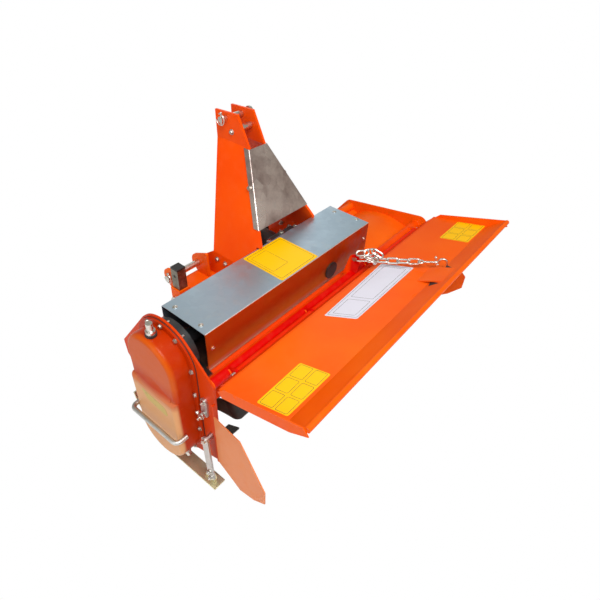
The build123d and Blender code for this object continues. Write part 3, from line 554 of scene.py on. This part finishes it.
# cover box: screws on its top and its rear wall
screwSet = {"topZ": 111.0, "top": ((63.6, 193.9), (61.9, 89.9), (783.9, 187.0), (797.0, 97.2)),
            "rearY": 54.0, "rear": ((65.0, 49.0), (790.0, 53.0))}
screws = [panHead((x, y, screwSet["topZ"]), (0, 0, 1)) for x, y in screwSet["top"]]
screws += [panHead((x, screwSet["rearY"], z), (0, -1, 0)) for x, z in screwSet["rear"]]
newPiece("boxScrews", *join(screws), "frame", "zinc", "zinc_plate")
print("cover box and filler dressed")

# mast: shield bolts square to the leaning fold, spacer bolts, and foot bolts with their nuts
mastSet = {"shieldBolt": (81.5, 313.0, 267.8), "lean": 21.8, "spacerBolt": (38.0, 427.0, 402.0),
           "footBolts": ((385.0, 8.5), (346.0, 8.0)), "footOut": 172.0, "footIn": 164.0, "nutTurn": 0.4}
lean = math.radians(mastSet["lean"])
mastBolts = []
for side in (-1, 1):
    across, y, z = mastSet["shieldBolt"]
    mastBolts.append(hexBolt("mastBolt", (machine["mastX"] + side * across, y, z),
                             (side * math.cos(lean), 0, math.sin(lean))))
    across, y, z = mastSet["spacerBolt"]
    mastBolts.append(hexBolt("mastBolt", (machine["mastX"] + side * across, y, z), (side, 0, 0)))
    for y, z in mastSet["footBolts"]:
        headAt = (machine["mastX"] + side * mastSet["footOut"], y, z)
        nutAt = (machine["mastX"] + side * mastSet["footIn"], y, z)
        mastBolts.append(hexBolt("footBolt", headAt, (side, 0, 0)))
        mastBolts.append(hexBolt("footNut", nutAt, (-side, 0, 0), mastSet["nutTurn"]))
newPiece("mastBolts", *join(mastBolts), "frame", "boltZinc", "zinc_plate")

# linch pins: a short pin down through each hitch pin's end and a sprung ring over it
linchSet = {"topPin": (503.5, 452.0, 438.0), "leftPin": (228.5, 450.0, -19.0),
            "rightPin": (891.5, 450.0, -19.0)}
linchSize = {"hitchPin": 11.0, "shank": 2.4, "shankEnds": (-6.0, 5.0), "head": 4.2, "headEnds": (4.0, 10.0),
             "ring": 17.0, "ringLift": 1.0, "ringArc": (70.0, 350.0), "wire": 1.5}
for linchName, (x, y, z) in linchSet.items():
    out = -1 if x < machine["mastX"] else 1
    above, below = z + linchSize["hitchPin"], z - linchSize["hitchPin"]
    shankLow, shankHigh = linchSize["shankEnds"]
    headLow, headHigh = linchSize["headEnds"]
    ringAt = (x + out * linchSize["head"], y, z + linchSize["ringLift"])
    linch = [rod((x, y, below + shankLow), (x, y, above + shankHigh), linchSize["shank"]),
             rod((x, y, above + headLow), (x, y, above + headHigh), linchSize["head"]),
             hoop(ringAt, (1, 0, 0), linchSize["ring"], linchSize["wire"], *linchSize["ringArc"])]
    newPiece(linchName + "Linch", *join(linch), "frame", "zinc", "zinc_plate")

# the top pin's tether: small rings that hang one through the other
tetherSet = {"rings": 7, "first": (513.0, 467.0, 428.0), "step": (4.6, 0.6, -7.0), "radius": 3.4, "wire": 0.8,
             "normals": ((1, 0.2, 0.4), (0.3, 1, 0.1))}
tether = [hoop(np.array(tetherSet["first"]) + np.array(tetherSet["step"]) * i, tetherSet["normals"][i % 2],
               tetherSet["radius"], tetherSet["wire"], steps=14) for i in range(tetherSet["rings"])]
newPiece("linchTether", *join(tether), "frame", "zinc", "zinc_plate")
print("mast and hitch pins dressed")

# skid adjusters and links on both sides, given for the left one
adjustSet = {"plateBolt": (-12.0, 22.0, -80.0), "stud": (-12.0, 24.0, -132.0), "studLength": 26.0,
             "studRadius": 4.4, "nutsAlong": (1.0, 10.5), "linkTurn": 0.3,
             "linkBolts": ((-34.0, 10.0, -225.0), (-34.0, 3.0, -415.0), (-34.0, 6.0, -386.0))}


def onSide(point, out):
    # a place given for the left side, or its mirror place when out is +1
    return (point[0] if out < 0 else mirrored(point[0]), point[1], point[2])


for sideName, out in (("Left", -1), ("Right", 1)):
    x, y, z = onSide(adjustSet["stud"], out)
    skidBolts = [hexBolt("plateBolt", onSide(adjustSet["plateBolt"], out), (out, 0, 0)),
                 rod((x, y, z), (x + out * adjustSet["studLength"], y, z), adjustSet["studRadius"])]
    for along in adjustSet["nutsAlong"]:
        skidBolts.append(hexBolt("studNut", (x + out * along, y, z), (out, 0, 0), along))
    for spot in adjustSet["linkBolts"]:
        skidBolts.append(hexBolt("linkBolt", onSide(spot, out), (out, 0, 0), adjustSet["linkTurn"]))
    newPiece("skidBolts" + sideName, *join(skidBolts), "frame", "zinc", "zinc_plate")

# stand: pin ends outside the sleeve with a pull ring, and the leg's row of holes as black discs of painted
# shade
standSet = {"x": 234.0, "y": 400.0, "pinZ": -62.0, "sleeveHalf": 22.0, "pinEnd": 12.0, "pinRadius": 5.5,
            "ringRadius": 14.0, "ringWire": 1.6, "ringOut": 8.0, "ringNormal": (1, 0.15, 0),
            "legHalf": 16.5, "holeRadius": 5.6, "holeDepth": 0.15,
            "holes": (-420, -380, -340, -300, -260, -220, -180, 20)}
x, y, z = standSet["x"], standSet["y"], standSet["pinZ"]
leftWall, rightWall = x - standSet["sleeveHalf"], x + standSet["sleeveHalf"]
standPin = [rod((leftWall - standSet["pinEnd"], y, z), (leftWall, y, z), standSet["pinRadius"]),
            rod((rightWall, y, z), (rightWall + standSet["pinEnd"], y, z), standSet["pinRadius"]),
            hoop((leftWall - standSet["ringOut"], y, z - standSet["ringRadius"]), standSet["ringNormal"],
                 standSet["ringRadius"], standSet["ringWire"])]
newPiece("standPin", *join(standPin), "frame", "zinc", "zinc_plate")
# the holes: thin black discs on the leg's faces, painted shade for their dark insides
holeRings = [(0, standSet["holeRadius"]), (standSet["holeDepth"], standSet["holeRadius"])]
holes = [lathe(holeRings, (x + side * standSet["legHalf"], y, holeZ), (side, 0, 0), sides=18)
         for side in (-1, 1) for holeZ in standSet["holes"]]
newPiece("standHoleShade", *join(holes), "stand", "gasket", "gasket")
print("skids and stand dressed")

# blade bolts: two through each blade, with nuts on the disc's other side; blades alternate sides, but on
# the end discs all of them point inwards
rotorSet = {"firstX": 72.0, "discs": 6, "blades": 4, "firstTurn": 60.0, "step": 24.0, "halfDisc": 4.0,
            "blade": 7.0, "radii": (54.0, 68.0), "nutTurn": 0.4}
discPitch = (machine["width"] - 2 * rotorSet["firstX"]) / (rotorSet["discs"] - 1)
endSides = {0: 1, rotorSet["discs"] - 1: -1}
bladeBolts = []
for disc in range(rotorSet["discs"]):
    x = rotorSet["firstX"] + discPitch * disc
    for blade in range(rotorSet["blades"]):
        side = endSides.get(disc, 1 if blade % 2 == 0 else -1)
        turn = math.radians(rotorSet["firstTurn"] + 90 * blade + rotorSet["step"] * disc)
        headX = x + side * (rotorSet["halfDisc"] + rotorSet["blade"])
        nutX = x - side * rotorSet["halfDisc"]
        for radius in rotorSet["radii"]:
            y, z = machine["rotorY"] - radius * math.sin(turn), machine["rotorZ"] + radius * math.cos(turn)
            bladeBolts.append(hexBolt("bladeBolt", (headX, y, z), (side, 0, 0), turn))
            bladeBolts.append(hexBolt("bladeNut", (nutX, y, z), (-side, 0, 0), turn + rotorSet["nutTurn"]))
newPiece("bladeBolts", *join(bladeBolts), "rotor", "boltZinc", "zinc_plate")

# right bearing: four bolts and the grease nipple
bearingSet = {"x": 1124.0, "radius": 47.0, "angles": (45, 135, 225, 315),
              "nippleAt": (1131.0, 154.0, -237.0), "nippleAxis": (0.25, 0, 1),
              "nipple": ((0, 4.5), (4, 4.5), (4.2, 2.4), (9, 2.4), (9.6, 3.4), (11.5, 3.2), (12.4, 1.6))}
bearingBolts = []
for angle in np.radians(bearingSet["angles"]):
    boltAt = (bearingSet["x"], machine["rotorY"] + bearingSet["radius"] * math.cos(angle),
              machine["rotorZ"] + bearingSet["radius"] * math.sin(angle))
    bearingBolts.append(hexBolt("bearingBolt", boltAt, (1, 0, 0)))
bearingBolts.append(lathe(bearingSet["nipple"], bearingSet["nippleAt"], bearingSet["nippleAxis"], sides=12))
newPiece("bearingBolts", *join(bearingBolts), "frame", "zinc", "zinc_plate")

# gearbox bolts and breather, and the shaft guard's bolts round it
gearSet = {"bolts": ((492, 240), (628, 240), (492, 100), (628, 100)), "top": 96.0, "breatherY": 246.0,
           "breather": ((0, 11), (6, 11), (6.2, 7), (13, 7), (14, 5)), "guardY": 365.0, "guardZ": 26.0,
           "guardRadius": 62.0, "guardAngles": (30, 150, 270)}
gearBolts = [hexBolt("gearBolt", (x, y, gearSet["top"]), (0, 0, 1)) for x, y in gearSet["bolts"]]
breatherAt = (machine["mastX"], gearSet["breatherY"], gearSet["top"])
gearBolts.append(lathe(gearSet["breather"], breatherAt, (0, 0, 1), sides=6))
for angle in np.radians(gearSet["guardAngles"]):
    boltAt = (machine["mastX"] + gearSet["guardRadius"] * math.cos(angle), gearSet["guardY"],
              gearSet["guardZ"] + gearSet["guardRadius"] * math.sin(angle))
    gearBolts.append(hexBolt("guardBolt", boltAt, (math.cos(angle), 0, math.sin(angle))))
newPiece("gearBolts", *join(gearBolts), "frame", "zinc", "zinc_plate")

# weld beads: hinge lugs and both tubes at the side plates, mast plates, and the plates' upright strips
weldSet = {"hingeLugs": (60.0, 380.0, 712.0, 1032.0), "lugT": 8.0, "lugGap": 1.0, "lugArc": (118, 188),
           "tubeEnd": 1.2, "tubeArc": (-30, 250), "bead": 2.0, "lowered": 0.4, "raised": 0.6,
           "mastSides": (-173.0, -163.0, 163.0, 173.0), "mastArc": (20, 150), "mastBead": 2.2,
           "stripX": -12.6, "stripY": -20.6, "stripZ": (-110.0, -318.0), "stripBead": 1.7}
frontTube = (machine["frontY"], machine["frontZ"])
lowered = machine["tube"] + weldSet["lowered"]      # how far from the tube's middle a bead's middle lies
raised = machine["tube"] + weldSet["raised"]
welds = []
for lugX in weldSet["hingeLugs"]:
    for x in (lugX - weldSet["lugGap"], lugX + weldSet["lugT"] + weldSet["lugGap"]):
        welds.append(weldBead(arcPath(x, 0, 0, raised, *weldSet["lugArc"]), weldSet["bead"]))
for x in (weldSet["tubeEnd"], mirrored(weldSet["tubeEnd"])):
    welds.append(weldBead(arcPath(x, 0, 0, lowered, *weldSet["tubeArc"]), weldSet["bead"]))
    welds.append(weldBead(arcPath(x, *frontTube, lowered, *weldSet["tubeArc"]), weldSet["bead"]))
for offset in weldSet["mastSides"]:
    mastArc = arcPath(machine["mastX"] + offset, *frontTube, raised, *weldSet["mastArc"])
    welds.append(weldBead(mastArc, weldSet["mastBead"]))
for x in (weldSet["stripX"], mirrored(weldSet["stripX"])):
    strip = [(x, weldSet["stripY"], z) for z in weldSet["stripZ"]]
    welds.append(weldBead(strip, weldSet["stripBead"], (1.0, 0.0, 0.0)))
newPiece("weldBeads", *join(welds), "frame", "orange", "orange_paint")
print("rotor, bearing, gearbox and welds dressed")


# films: plain, with printed edge and cell lines, left without words or signs
def roundedOutline(corners, corner, inset=0.0):
    # straight sides joined by quadratic curves on the plane of the corners; a point of a curve is
    # (1 - s)^2 * its start + 2 s (1 - s) * the corner + s^2 * its end
    low, right, high, left = [np.asarray(spot, float) for spot in corners]
    normal = unit(np.cross(right - low, left - low))
    along = unit(right - low)
    upward = np.cross(normal, along)
    flat = np.array([[(spot - low) @ along, (spot - low) @ upward] for spot in (low, right, high, left)])
    before, after = np.roll(flat, 1, 0), np.roll(flat, -1, 0)
    flat = flat + (unit(before - flat) + unit(after - flat)) * inset
    before, after = np.roll(flat, 1, 0), np.roll(flat, -1, 0)
    share = np.linspace(0, 1, 7)[None, :, None]
    start = flat[:, None] + (unit(before - flat) * corner)[:, None]
    end = flat[:, None] + (unit(after - flat) * corner)[:, None]
    curve = (1 - share) ** 2 * start + 2 * share * (1 - share) * flat[:, None] + share ** 2 * end
    outline = curve.reshape(-1, 2)
    return low + outline[:, :1] * along + outline[:, 1:] * upward, normal


def wallFaces(count):
    # quads between two outlines of as many points, stored one after the other
    return [[i, (i + 1) % count, (i + 1) % count + count, i + count] for i in range(count)]


def film(corners, corner=6.0, thickness=0.25, lift=0.12):
    # a thin closed plate over the sheet
    outline, normal = roundedOutline(corners, corner)
    count = len(outline)
    points = np.concatenate([outline + normal * lift, outline + normal * (lift + thickness)])
    return points, [list(range(count))[::-1], list(range(count, 2 * count))] + wallFaces(count)


def edgeLine(corners, width, corner=5.0, lift=0.5):
    # closed printed line: the band between two outlines
    outer, normal = roundedOutline(corners, corner)
    inner = roundedOutline(corners, max(corner - width, 0.5), width)[0]
    return np.concatenate([outer, inner]) + normal * lift, wallFaces(len(outer))


def cellCorners(corners, left, right, low, high):
    # the part of a four-cornered film between shares of its width and height
    a, b, c, d = [np.asarray(spot, float) for spot in corners]
    return [a * (1 - u) * (1 - v) + b * u * (1 - v) + c * u * v + d * (1 - u) * v
            for u, v in ((left, low), (right, low), (right, high), (left, high))]


# flap: its panel rises from the front fold to the valley, and its hem from the valley outwards
flapSet = {"frontY": -60.0, "frontZ": 50.0, "valleyY": -267.0, "valleyZ": 97.0, "halfSheet": 1.5,
           "hemRise": 41.0 / 55.0, "hemLift": 2.1}


def onFlap(x, y):
    # a point on the flap's upper face
    slope = (flapSet["valleyZ"] - flapSet["frontZ"]) / (flapSet["frontY"] - flapSet["valleyY"])
    lift = flapSet["halfSheet"] * math.hypot(1, slope)
    return (x, y, flapSet["frontZ"] + (flapSet["frontY"] - y) * slope + lift)


def onHem(x, y):
    # a point on the hem's upper face
    return (x, y, flapSet["valleyZ"] + (flapSet["valleyY"] - y) * flapSet["hemRise"] + flapSet["hemLift"])


signLine = 1.0
cellGap = 0.02
sixCells = [(column / 3 + cellGap, (column + 1) / 3 - cellGap, low, high)
            for column in range(3) for low, high in ((0.06, 0.44), (0.52, 0.94))]
signSet = {
    "signLeft": {"corners": ((2, -257), (164, -257), (158, -166), (-4, -168)), "finish": "yellow",
                 "cells": sixCells},
    "signRight": {"corners": ((964, -260), (1117, -262), (1113, -161), (958, -160)), "finish": "yellow",
                  "cells": sixCells},
    "signMiddle": {"corners": ((389, -184), (722, -184), (699, -78), (357, -94)), "finish": "white",
                   "cells": [(0.02, 0.98, 0.05, 0.95), (0.05, 0.30, 0.16, 0.84), (0.34, 0.95, 0.16, 0.84)]},
}
for signName, sign in signSet.items():
    corners = [onFlap(*spot) for spot in sign["corners"]]
    newPiece(signName, *film(corners), "flap", sign["finish"], "orange_paint")
    lines = [edgeLine(cellCorners(corners, *cell), signLine) for cell in sign["cells"]]
    newPiece(signName + "Lines", *join(lines), "flap", "ink", "orange_paint")

boxSignSet = {"corners": ((347, 58), (520, 58), (520, 219), (347, 219)), "edgeLine": 1.2,
              "edge": (0.04, 0.96, 0.05, 0.95), "cell": (0.09, 0.48, 0.3, 0.88)}
boxTopZ = (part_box("cover_box")[1].z - zero[2]) * 1000
boxSign = [(x, y, boxTopZ) for x, y in boxSignSet["corners"]]
newPiece("signBox", *film(boxSign), "frame", "yellow", "galvanised_steel")
boxLines = [edgeLine(cellCorners(boxSign, *boxSignSet["edge"]), boxSignSet["edgeLine"]),
            edgeLine(cellCorners(boxSign, *boxSignSet["cell"]), signLine)]
newPiece("signBoxLines", *join(boxLines), "frame", "ink", "galvanised_steel")
caseLabelSet = {"corners": ((-80, 185, -132), (-80, 94, -143), (-80, 99, -107), (-80, 206, -96)),
                "corner": 14.0}
caseLabel = film(caseLabelSet["corners"], caseLabelSet["corner"])
newPiece("caseLabel", *caseLabel, "frame", "worn", "orange_paint")
print("films ready")


# chain: the spare links bunched over the lug
def chainLoop(centre, along, over, half=11.0, bend=9.5, wire=3.0):
    # slot-shaped round wire: two half circles joined by straight sides
    along, over = unit(along), np.asarray(over, float)
    over = unit(over - along * (over @ along))
    angle = np.linspace(-np.pi / 2, np.pi / 2, 9)
    right = np.stack([half + bend * np.cos(angle), bend * np.sin(angle)], 1)
    left = np.stack([-half - bend * np.cos(angle), -bend * np.sin(angle)], 1)
    path = np.asarray(centre, float) + np.concatenate([right, left]) @ np.stack([along, over])
    return sweepTube(path, wire, closed=True, upward=np.cross(along, over))


# each spare link: its middle, the way it lies and the way its slot opens
spareLinks = [((651, -27, 97), (0.6, -1, 0.3), (1, 0.5, 0.6)),
              ((667, -44, 101), (0.8, -0.5, 0.0), (0.3, 0.4, 1)),
              ((680, -66, 101), (0.2, -1, -0.3), (1, 0.2, 0.2)),
              ((659, -74, 93), (-1, -0.2, -0.2), (0.2, 0.5, 1)),
              ((643, -62, 93), (-0.3, 1, 0.2), (1, 0.4, -0.3))]
newPiece("spareLinks", *join([chainLoop(*link) for link in spareLinks]), "flap_chain", "zinc", "zinc_plate")

# flap: painted shade at the bridge's ends, as thin black patches where its mouths open, small creases in the
# sheet beside it, and the cheeks' rivets
bridgeSet = {"mouths": (((663, -268), (632, -276), (645, -299)), ((749, -269), (749, -297), (781, -268))),
             "thickness": (0, 0.1, 0.2)}
mouthPoints = np.array([onHem(*spot) for mouth in bridgeSet["mouths"] for spot in mouth])
mouthFaces = []
for low in (0, 3):      # each mouth is a thin closed prism: its lower face, its upper face and three walls
    mouthFaces += [(low, low + 2, low + 1), (low + 6, low + 7, low + 8)]
    mouthFaces += [(low + i, low + j, low + j + 6, low + i + 6) for i, j in ((0, 1), (1, 2), (2, 0))]
mouthPoints = np.concatenate([mouthPoints, mouthPoints + bridgeSet["thickness"]])
newPiece("bridgeMouthShade", mouthPoints, mouthFaces, "flap", "gasket", "orange_paint")

creaseSet = {"ends": (((640, -188), (657, -222)), ((671, -230), (690, -258)), ((564, -256), (586, -263)),
                      ((700, -196), (716, -226))), "thin": 0.2, "swell": 1.1, "steps": 12}
swell = creaseSet["thin"] + creaseSet["swell"] * np.sin(np.linspace(0, np.pi, creaseSet["steps"]))
creases = [sweepTube(np.linspace(onFlap(*start), onFlap(*end), creaseSet["steps"]), swell)
           for start, end in creaseSet["ends"]]
newPiece("flapCreases", *join(creases), "flap", "flapOrange", "orange_paint", smoothAngle=1.2)

rivetSet = {"x": -25.0, "y": -117.0, "z": 72.0, "radius": 3.6, "height": 1.8}
rivets = [panHead((x, rivetSet["y"], rivetSet["z"]), (side, 0, 0), rivetSet["radius"], rivetSet["height"])
          for x, side in ((rivetSet["x"], -1), (mirrored(rivetSet["x"]), 1))]
newPiece("cheekRivets", *join(rivets), "flap", "flapOrange", "orange_paint")
print("chain and flap dressed")

# floor: pale, and plain white where the camera sees it
floorSet = {"reach": 30.0, "colour": (0.86, 0.86, 0.86), "rough": 0.7}
floorMesh = bpy.data.meshes.new("floor")
floorCorners = np.array([(-1, -1, 0), (1, -1, 0), (1, 1, 0), (-1, 1, 0)]) * floorSet["reach"]
floorMesh.from_pydata(floorCorners.tolist(), [], [(0, 1, 2, 3)])
floor = bpy.data.objects.new("floor", floorMesh)
bpy.context.scene.collection.objects.link(floor)
paleFloor = Finish("paleFloor", Base_Color=floorSet["colour"], Roughness=floorSet["rough"])
seen = paleFloor.add("ShaderNodeLightPath", {}, [], "Is Camera Ray")
glow = paleFloor.add("ShaderNodeEmission", {}, {"Color": (1.0, 1.0, 1.0)})
mixed = paleFloor.add("ShaderNodeMixShader", {}, [seen, Level(paleFloor, paleFloor.shader.outputs[0]), glow])
paleFloor.feed(paleFloor.tree.nodes["Material Output"].inputs["Surface"], mixed)
floorMesh.materials.append(paleFloor.material)

# world: white to the camera, and a warm grey to the lamps' bounces
worldSet = {"bounce": (0.31, 0.29, 0.25, 1.0), "seen": (1.0, 1.0, 1.0, 1.0)}
world = bpy.data.worlds.new("room")
bpy.context.scene.world = world
world.use_nodes = True
background = world.node_tree.nodes["Background"]
paths = world.node_tree.nodes.new("ShaderNodeLightPath")
tint = world.node_tree.nodes.new("ShaderNodeMix")
tint.data_type = "RGBA"
tint.inputs[6].default_value = worldSet["bounce"]
tint.inputs[7].default_value = worldSet["seen"]
world.node_tree.links.new(paths.outputs["Is Camera Ray"], tint.inputs[0])
world.node_tree.links.new(tint.outputs[2], background.inputs["Color"])
print("stage ready")
